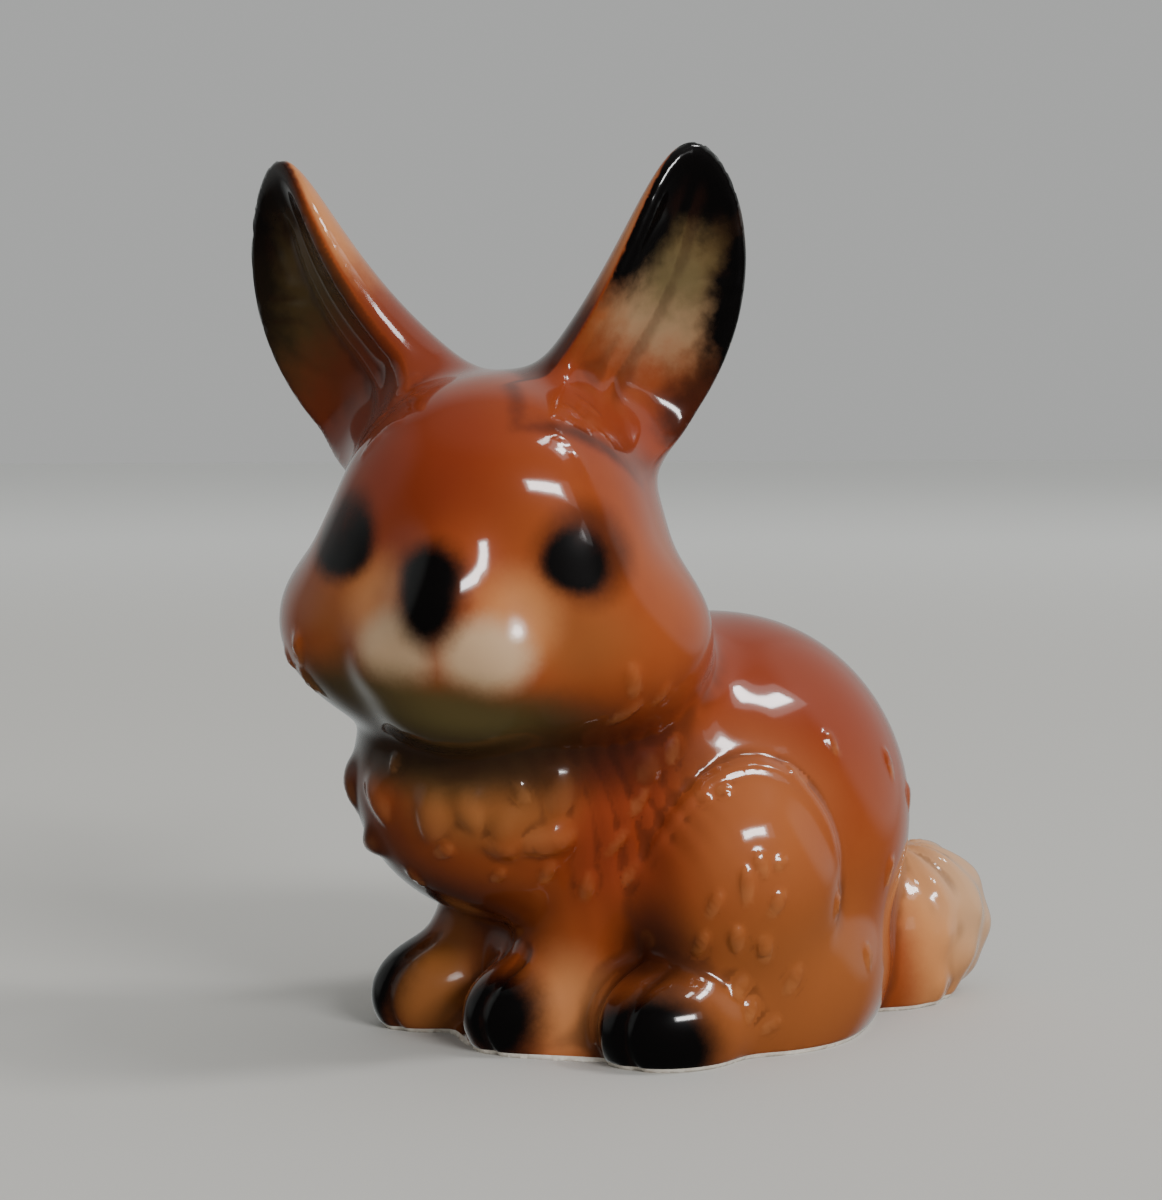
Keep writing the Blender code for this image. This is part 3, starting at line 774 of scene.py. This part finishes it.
class HareStage(bpy.types.PropertyGroup):
    """Floor, light and camera."""
    floor: colour_property("Floor", "bdbbb6", "Pale studio floor")
    # The paler far floor is painted light, in place of the light that falls off away from the hare.
    far_floor: colour_property("Far floor", "dcdcd9", "Floor far from the hare")
    camera_turn: bpy.props.FloatProperty(
        name="Camera turn", default=math.radians(62.0), subtype="ANGLE",
        description="Angle of the view from the front of the body towards its left side")


class HARE_OT_figure(bpy.types.Operator):
    """Makes the porcelain hare as one closed piece and glazes it."""
    bl_idname = "hare.figure"
    bl_label = "Make the hare"

    def execute(self, context):
        sizes = context.scene.hare_shape
        points, quads = level_surface(figure, SEARCH_LOW, SEARCH_HIGH, sizes.grid_step)
        points = ease(points, quads, figure, 2)
        points = settle(points, figure, 2)
        plain_low, plain_high = points[points[:, 2] > 0.0].min(axis=0), points.max(axis=0)
        points, quads = split_quads(points, quads)
        side_tufts = FLANK_TUFTS + SHOULDER_TUFTS
        body_tufts = side_tufts + CHEST_TUFTS + BACK_TUFTS + mirrored(side_tufts)
        tufts = tuft_forms(body_tufts, TUFT_CENTRE, np.eye(3), body, sizes.tuft_lift)
        tufts += tuft_forms(HEAD_TUFTS + mirrored(HEAD_TUFTS), HEAD_AT, HEAD_AXES, figure, sizes.tuft_lift)
        fine = lambda p: figure(p, True, tufts)
        points = settle(points, fine, 2)
        points = ease(points, quads, fine, 1)
        points = settle(points, fine, 2, 0.3)
        normal = slope_of(fine, points, unit=True)
        hollow = ((neighbour_mean(points, quads, len(points)) - points) * normal).sum(axis=1)
        for _ in range(2):
            hollow = neighbour_mean(hollow, quads, len(points))
        raised = np.zeros(len(points))
        for tuft in tufts:
            away = (points - tuft["at"]) @ tuft["axes"] / np.array(tuft["radii"])
            raised = np.maximum(raised, smoothstep(1.15, 0.75, np.linalg.norm(away, axis=1)))
        scale = HEIGHT / plain_high[2]
        middle = (LOW + HIGH) / 2.0
        shift = np.array([middle[0], middle[1], LOW[2]]) - scale * np.array(
            [(plain_low[0] + plain_high[0]) / 2.0, (plain_low[1] + plain_high[1]) / 2.0, 0.0])
        context.scene["hare_scale"] = scale
        context.scene["hare_shift"] = shift.tolist()
        shape = bpy.data.meshes.new("hare_figure")
        shape.from_pydata((points * scale + shift).tolist(), [], quads.tolist())
        for name, values, reach in (("hollow", hollow, HOLLOW_REACH), ("raised", raised, 1.0)):
            layer = shape.attributes.new(name, "FLOAT", "POINT")
            layer.data.foreach_set("value", np.clip(values / reach, -1.0, 1.0).astype(np.float32))
        for side in EAR:
            layer = shape.attributes.new("ear_" + side, "FLOAT_VECTOR", "POINT")
            layer.data.foreach_set("vector", ear_chart(points, side).astype(np.float32).ravel())
        shape.update()
        cut_underside(shape, LOW[2], sizes.bare_rim)
        shape.polygons.foreach_set("use_smooth", np.ones(len(shape.polygons), dtype=bool))
        piece = bpy.data.objects.new("hare_figure", shape)
        context.scene.collection.objects.link(piece)
        shape.materials.append(glazed_porcelain(context.scene.hare_glaze, scale, shift))
        shape.materials.append(bare_porcelain(context.scene.hare_glaze))
        height = np.empty(len(shape.vertices) * 3)
        shape.vertices.foreach_get("co", height)
        height = height[2::3]
        corner = np.empty(len(shape.loops), dtype=np.int32)
        shape.loops.foreach_get("vertex_index", corner)
        start = np.empty(len(shape.polygons), dtype=np.int32)
        shape.polygons.foreach_get("loop_start", start)
        top = np.maximum.reduceat(height[corner], start)
        shape.polygons.foreach_set("material_index", (top < LOW[2] + sizes.bare_rim * 1.01).astype(np.int32))
        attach(piece, "root")
        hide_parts("hare")
        return {"FINISHED"}


def cut_underside(shape, table, rim):
    """Cuts the piece flat on the table, closes it, and sets the bare rim in by a fifth of its height."""
    mesh = bmesh.new()
    mesh.from_mesh(shape)
    for height, keep in ((table, False), (table + rim, True), (table + 1.5 * rim, True)):
        everything = mesh.verts[:] + mesh.edges[:] + mesh.faces[:]
        bmesh.ops.bisect_plane(mesh, geom=everything, dist=1e-6, plane_co=(0, 0, height), plane_no=(0, 0, 1),
                               clear_inner=not keep)
    bmesh.ops.remove_doubles(mesh, verts=[v for v in mesh.verts if v.co.z < table + 2.0 * rim], dist=1e-5)
    mesh.normal_update()
    for vert in mesh.verts:
        low = 1.0 - min(max((vert.co.z - table - rim * 0.999) / (0.5 * rim), 0.0), 1.0)
        if low > 0.0:
            flat = Vector((vert.normal.x, vert.normal.y, 0.0))
            vert.co -= flat * (0.25 * rim * low)
    edge = [e for e in mesh.edges if len(e.link_faces) == 1]
    for e in edge:
        for vert in e.verts:
            vert.co.z = table
    bmesh.ops.triangle_fill(mesh, edges=edge, use_beauty=True, normal=(0, 0, -1))
    bmesh.ops.recalc_face_normals(mesh, faces=mesh.faces[:])
    mesh.to_mesh(shape)
    mesh.free()
    shape.update()


class Painter:
    """Adds nodes to a tree. With a scale, its coordinates are in hundredths of the figure's height."""

    def __init__(self, tree, coordinates="Object", scale=SHARE, shift=(0.0, 0.0, 0.0)):
        self.tree = tree
        self.count = 0
        place = self.add("ShaderNodeTexCoord").outputs[coordinates]
        self.place = self.moved(place, shift, (scale, scale, scale))

    def add(self, kind, **values):
        """One more node, placed in rows."""
        node = self.tree.nodes.new(kind)
        node.location = ((self.count % 14) * 190 - 2900, 500 - (self.count // 14) * 280)
        self.count += 1
        for name, value in values.items():
            setattr(node, name, value)
        return node

    def feed(self, socket, value):
        """Sets a socket to a number or colour, or links it to an output."""
        if isinstance(value, bpy.types.NodeSocket):
            self.tree.links.new(value, socket)
        elif isinstance(value, (int, float)):
            socket.default_value = value
        else:
            socket.default_value = tuple(value)

    def moved(self, source, centre, radii, turned=(0.0, 0.0, 0.0)):
        """Coordinates about a centre, turned back and divided by radii."""
        node = self.add("ShaderNodeMapping", vector_type="TEXTURE")
        self.feed(node.inputs["Vector"], source)
        self.feed(node.inputs["Location"], centre)
        self.feed(node.inputs["Rotation"], turned)
        self.feed(node.inputs["Scale"], radii)
        return node.outputs[0]

    def noise(self, source, size, detail, roughness, output="Fac"):
        """Cloudy noise with lumps of about the given size."""
        node = self.add("ShaderNodeTexNoise")
        self.feed(node.inputs["Vector"], source)
        self.feed(node.inputs["Scale"], 1.0 / size)
        self.feed(node.inputs["Detail"], detail)
        self.feed(node.inputs["Roughness"], roughness)
        return node.outputs[output]

    def vector(self, operation, a, b=None, output=0):
        """Result of one vector operation."""
        node = self.add("ShaderNodeVectorMath", operation=operation)
        self.feed(node.inputs[0], a)
        if b is not None:
            self.feed(node.inputs[1], b)
        return node.outputs[output]

    def length(self, source):
        """Length of a vector."""
        return self.vector("LENGTH", source, output="Value")

    def warped(self, source, size, reach):
        """Coordinates moved up to a reach by noise."""
        cloud = self.noise(self.place, size, 4.0, 0.6, "Color")
        centred = self.vector("SUBTRACT", cloud, (0.5, 0.5, 0.5))
        return self.vector("ADD", source, self.vector("MULTIPLY", centred, [2.0 * r for r in reach]))

    def paired(self, source):
        """The same coordinates with x taken as its distance from the middle."""
        return self.vector("MAXIMUM", source, self.vector("MULTIPLY", source, (-1.0, 1.0, 1.0)))

    def patch(self, source, centre, radii, soft):
        """1 inside an ellipsoid and 0 outside it, over a soft border given as a share of its radii."""
        return self.remap(self.length(self.moved(source, centre, radii)), 1.0 + soft, 1.0 - soft)

    def math(self, operation, a, b):
        """Result of one operation on two numbers."""
        node = self.add("ShaderNodeMath", operation=operation)
        self.feed(node.inputs[0], a)
        self.feed(node.inputs[1], b)
        return node.outputs[0]

    def remap(self, source, low, high, out_low=0.0, out_high=1.0):
        """Runs smoothly from out_low at low to out_high at high."""
        node = self.add("ShaderNodeMapRange", interpolation_type="SMOOTHSTEP")
        self.feed(node.inputs["Value"], source)
        for name, value in zip(("From Min", "From Max", "To Min", "To Max"), (low, high, out_low, out_high)):
            self.feed(node.inputs[name], value)
        return node.outputs[0]

    def spray(self, under, colour, mask, strength=1.0):
        """Colour laid over what is there, as far as the mask says."""
        node = self.add("ShaderNodeMix", data_type="RGBA")
        self.feed(node.inputs[0], self.math("MULTIPLY", mask, strength) if strength != 1.0 else mask)
        self.feed(node.inputs[6], under)
        self.feed(node.inputs[7], colour)
        return node.outputs[2]

    def attribute(self, name, output="Fac"):
        """Value or vector that is stored with the mesh."""
        return self.add("ShaderNodeAttribute", attribute_name=name).outputs[output]


def new_material(name):
    """Material with nodes, and its shader."""
    material = bpy.data.materials.new(name)
    material.use_nodes = True
    return material, material.node_tree.nodes["Principled BSDF"]


def glazed_porcelain(tone, scale, shift):
    """Sprayed colours with painted shade and highlights among them, soft speckled borders, darker in the
    hollows, under a clear glossy glaze.
    """
    material, shader = new_material("glazed_porcelain")
    brush = Painter(material.node_tree, "Object", scale, shift)
    drift = brush.warped(brush.place, 7.0, (0.9, 0.9, 0.9))
    grain = brush.warped(drift, 0.45, (0.22, 0.22, 0.22))
    head_turn = Matrix(HEAD_AXES.tolist()).to_euler("XYZ")
    face = brush.moved(grain, HEAD_AT, (1.0, 1.0, 1.0), head_turn)
    frames = {"body": grain, "head": face, "body pair": brush.paired(grain), "head pair": brush.paired(face)}
    for side in EAR:
        chart = brush.attribute("ear_" + side, "Vector")
        frames["ear " + side] = brush.warped(chart, 2.0, (0.16, 0.07, 0.0))
    mottle = brush.remap(brush.noise(brush.place, 9.0, 3.0, 0.55), 0.35, 0.7)
    colour = brush.spray(tone.coat, tone.russet, mottle, MOTTLE)
    for name, frame_name, centre, radii, soft, strength in SPRAYS:
        mask = brush.patch(frames[frame_name], centre, radii, soft)
        colour = brush.spray(colour, getattr(tone, name), mask, strength)
    pooled = brush.remap(brush.attribute("hollow"), 0.15, 1.1)
    colour = brush.spray(colour, tone.umber, pooled, HOLLOW_DARK)
    # Paler tufts: thinner glaze on the raised parts, and partly painted light.
    colour = brush.spray(colour, tone.peach, brush.attribute("raised"), RAISED_PALE)
    brush.feed(shader.inputs["Base Color"], colour)
    ripple = brush.add("ShaderNodeBump")
    ripple.inputs["Strength"].default_value = RIPPLE_STRENGTH
    ripple.inputs["Distance"].default_value = RIPPLE_HEIGHT * scale
    brush.feed(ripple.inputs["Height"], brush.noise(brush.place, 3.0, 2.0, 0.5))
    brush.feed(shader.inputs["Coat Normal"], ripple.outputs[0])
    for name, value in GLAZE:
        shader.inputs[name].default_value = value
    return material


def bare_porcelain(tone):
    """Unglazed edge: off-white, matt and finely grained."""
    material, shader = new_material("bare_porcelain")
    brush = Painter(material.node_tree)
    cloud = brush.remap(brush.noise(brush.place, 1.2, 4.0, 0.6), 0.35, 0.75)
    brush.feed(shader.inputs["Base Color"], brush.spray(tone.bare, tone.tan, cloud, 0.3))
    brush.feed(shader.inputs["Roughness"], brush.remap(cloud, 0.0, 1.0, 0.65, 0.85))
    return material


class HARE_OT_stage(bpy.types.Operator):
    """Makes the pale floor, the soft studio lights and the camera."""
    bl_idname = "hare.stage"
    bl_label = "Make the stage"

    def execute(self, context):
        scene = context.scene
        stage = scene.hare_stage
        floor_mesh = bpy.data.meshes.new("floor")
        corners = ((-1, -1), (1, -1), (1, 1), (-1, 1))
        corners = [(x * FLOOR_REACH, y * FLOOR_REACH, LOW[2]) for x, y in corners]
        floor_mesh.from_pydata(corners, [], [(0, 1, 2, 3)])
        floor = bpy.data.objects.new("floor", floor_mesh)
        scene.collection.objects.link(floor)
        paint, shader = new_material("studio_floor")
        brush = Painter(paint.node_tree)
        # Paler with distance: painted light that evens out the lamps' falloff across the floor.
        away = brush.remap(brush.length(brush.place), *FLOOR_FADE)
        brush.feed(shader.inputs["Base Color"], brush.spray(stage.floor, stage.far_floor, away))
        shader.inputs["Roughness"].default_value = FLOOR_ROUGHNESS
        floor.visible_glossy = False
        floor_mesh.materials.append(paint)
        scene.world = studio_world(stage.camera_turn)
        place_camera(scene, stage.camera_turn)
        place_lights(scene, stage.camera_turn)
        return {"FINISHED"}


def studio_world(turn_angle):
    """Pale where the camera sees it; as light it is dim, with soft pale walls behind, beside and above."""
    world = bpy.data.worlds.new("studio")
    world.use_nodes = True
    shown = world.node_tree.nodes["Background"]
    brush = Painter(world.node_tree, "Generated", 1.0)
    light = 0.0
    for azimuth, elevation, reach, strength, full in WALLS:
        toward = from_middle(turn_angle, azimuth, elevation, 1.0) - MIDDLE
        facing = brush.vector("DOT_PRODUCT", brush.place, toward, "Value")
        edge, inner = [math.cos(math.radians(part * reach)) for part in (1.0, full)]
        light = brush.math("MAXIMUM", brush.remap(facing, edge, inner, 0.0, strength), light)
    lit = brush.add("ShaderNodeBackground")
    choose = brush.add("ShaderNodeMixShader")
    for socket, value in ((lit.inputs["Color"], WALL_COLOUR),
                          (lit.inputs["Strength"], brush.math("ADD", light, DIM_ROOM)),
                          (shown.inputs["Color"], BACKDROP_COLOUR),
                          (shown.inputs["Strength"], BACKDROP_STRENGTH),
                          (choose.inputs[0], brush.add("ShaderNodeLightPath").outputs["Is Camera Ray"]),
                          (choose.inputs[1], lit.outputs[0]),
                          (choose.inputs[2], shown.outputs[0]),
                          (world.node_tree.nodes["World Output"].inputs["Surface"], choose.outputs[0])):
        brush.feed(socket, value)
    return world


def view_axes(turn_angle):
    """Right, ahead and up of a level view turned from the front of the body towards its left side."""
    right = Vector((math.cos(turn_angle), math.sin(turn_angle), 0.0))
    ahead = Vector((-math.sin(turn_angle), math.cos(turn_angle), 0.0))
    return right, ahead, Vector((0.0, 0.0, 1.0))


def place_camera(scene, turn_angle):
    """Camera at the photograph's angle, pitched so that the level row is where the photograph has it."""
    scale = scene["hare_scale"]
    shift = Vector(scene["hare_shift"])
    right, ahead, up = view_axes(turn_angle)
    pitch = math.atan((PHOTO_ROWS / 2.0 - LEVEL_ROW) / FOCAL_LENGTH)
    data = bpy.data.cameras.new("photo_camera")
    camera = bpy.data.objects.new("photo_camera", data)
    scene.collection.objects.link(camera)
    forward = ahead * math.cos(pitch) - up * math.sin(pitch)
    top = up * math.cos(pitch) + ahead * math.sin(pitch)
    camera.rotation_euler = Matrix((right, top, -forward)).transposed().to_euler()
    aside, onward, rise = CAMERA_AT
    camera.location = (ahead * onward + right * aside + up * rise) * scale + shift
    data.sensor_fit = "VERTICAL"
    data.sensor_height = SENSOR_HEIGHT
    data.lens = FOCAL_LENGTH / PHOTO_ROWS * SENSOR_HEIGHT
    data.clip_start = 0.01
    scene.camera = camera


def add_lamp(scene, name, kind, place, power):
    """Light at a place, aimed at the figure's middle."""
    data = bpy.data.lights.new(name, kind)
    data.energy = power
    lamp = bpy.data.objects.new(name, data)
    lamp.location = place
    lamp.rotation_euler = (MIDDLE - place).to_track_quat("-Z", "Y").to_euler()
    scene.collection.objects.link(lamp)
    return lamp


def from_middle(turn_angle, azimuth, elevation, distance):
    """Place seen from the figure's middle: azimuth to the right of the camera and elevation, in degrees."""
    right, ahead, up = view_axes(turn_angle)
    a, e = math.radians(azimuth), math.radians(elevation)
    flat = right * math.sin(a) - ahead * math.cos(a)
    return MIDDLE + (flat * math.cos(e) + up * math.sin(e)) * distance


def place_lights(scene, turn_angle):
    """Soft boxes and dimmer glows round them, which show in the glaze, and a wide skylight that doesn't."""
    for name, azimuth, elevation, distance, size, power in LIGHTS:
        lamp = add_lamp(scene, name, "AREA", from_middle(turn_angle, azimuth, elevation, distance), power)
        lamp.data.shape = "RECTANGLE"
        lamp.data.size, lamp.data.size_y = size
    azimuth, elevation, strength, width = SKYLIGHT
    sky = add_lamp(scene, "skylight", "SUN", from_middle(turn_angle, azimuth, elevation, 1.0), strength)
    sky.data.angle = math.radians(width)
    sky.visible_glossy = False


class HARE_PT_panel(bpy.types.Panel):
    """Lists the hare's sizes, colours and steps."""
    bl_idname = "HARE_PT_panel"
    bl_label = "Hare"
    bl_space_type = "VIEW_3D"
    bl_region_type = "UI"
    bl_category = "Hare"

    def draw(self, context):
        layout = self.layout
        scene = context.scene
        for group in (scene.hare_shape, scene.hare_glaze, scene.hare_stage):
            box = layout.box()
            for name in type(group).__annotations__:
                box.prop(group, name)
        layout.operator("hare.figure")
        layout.operator("hare.stage")


CLASSES = (HareShape, HareGlaze, HareStage, HARE_OT_figure, HARE_OT_stage, HARE_PT_panel)


def register():
    for item in CLASSES:
        bpy.utils.register_class(item)
    bpy.types.Scene.hare_shape = bpy.props.PointerProperty(type=HareShape)
    bpy.types.Scene.hare_glaze = bpy.props.PointerProperty(type=HareGlaze)
    bpy.types.Scene.hare_stage = bpy.props.PointerProperty(type=HareStage)


def unregister():
    del bpy.types.Scene.hare_stage
    del bpy.types.Scene.hare_glaze
    del bpy.types.Scene.hare_shape
    for item in reversed(CLASSES):
        bpy.utils.unregister_class(item)


def main():
    register()
    bpy.ops.hare.figure()
    bpy.ops.hare.stage()


if __name__ == "__main__":
    main()
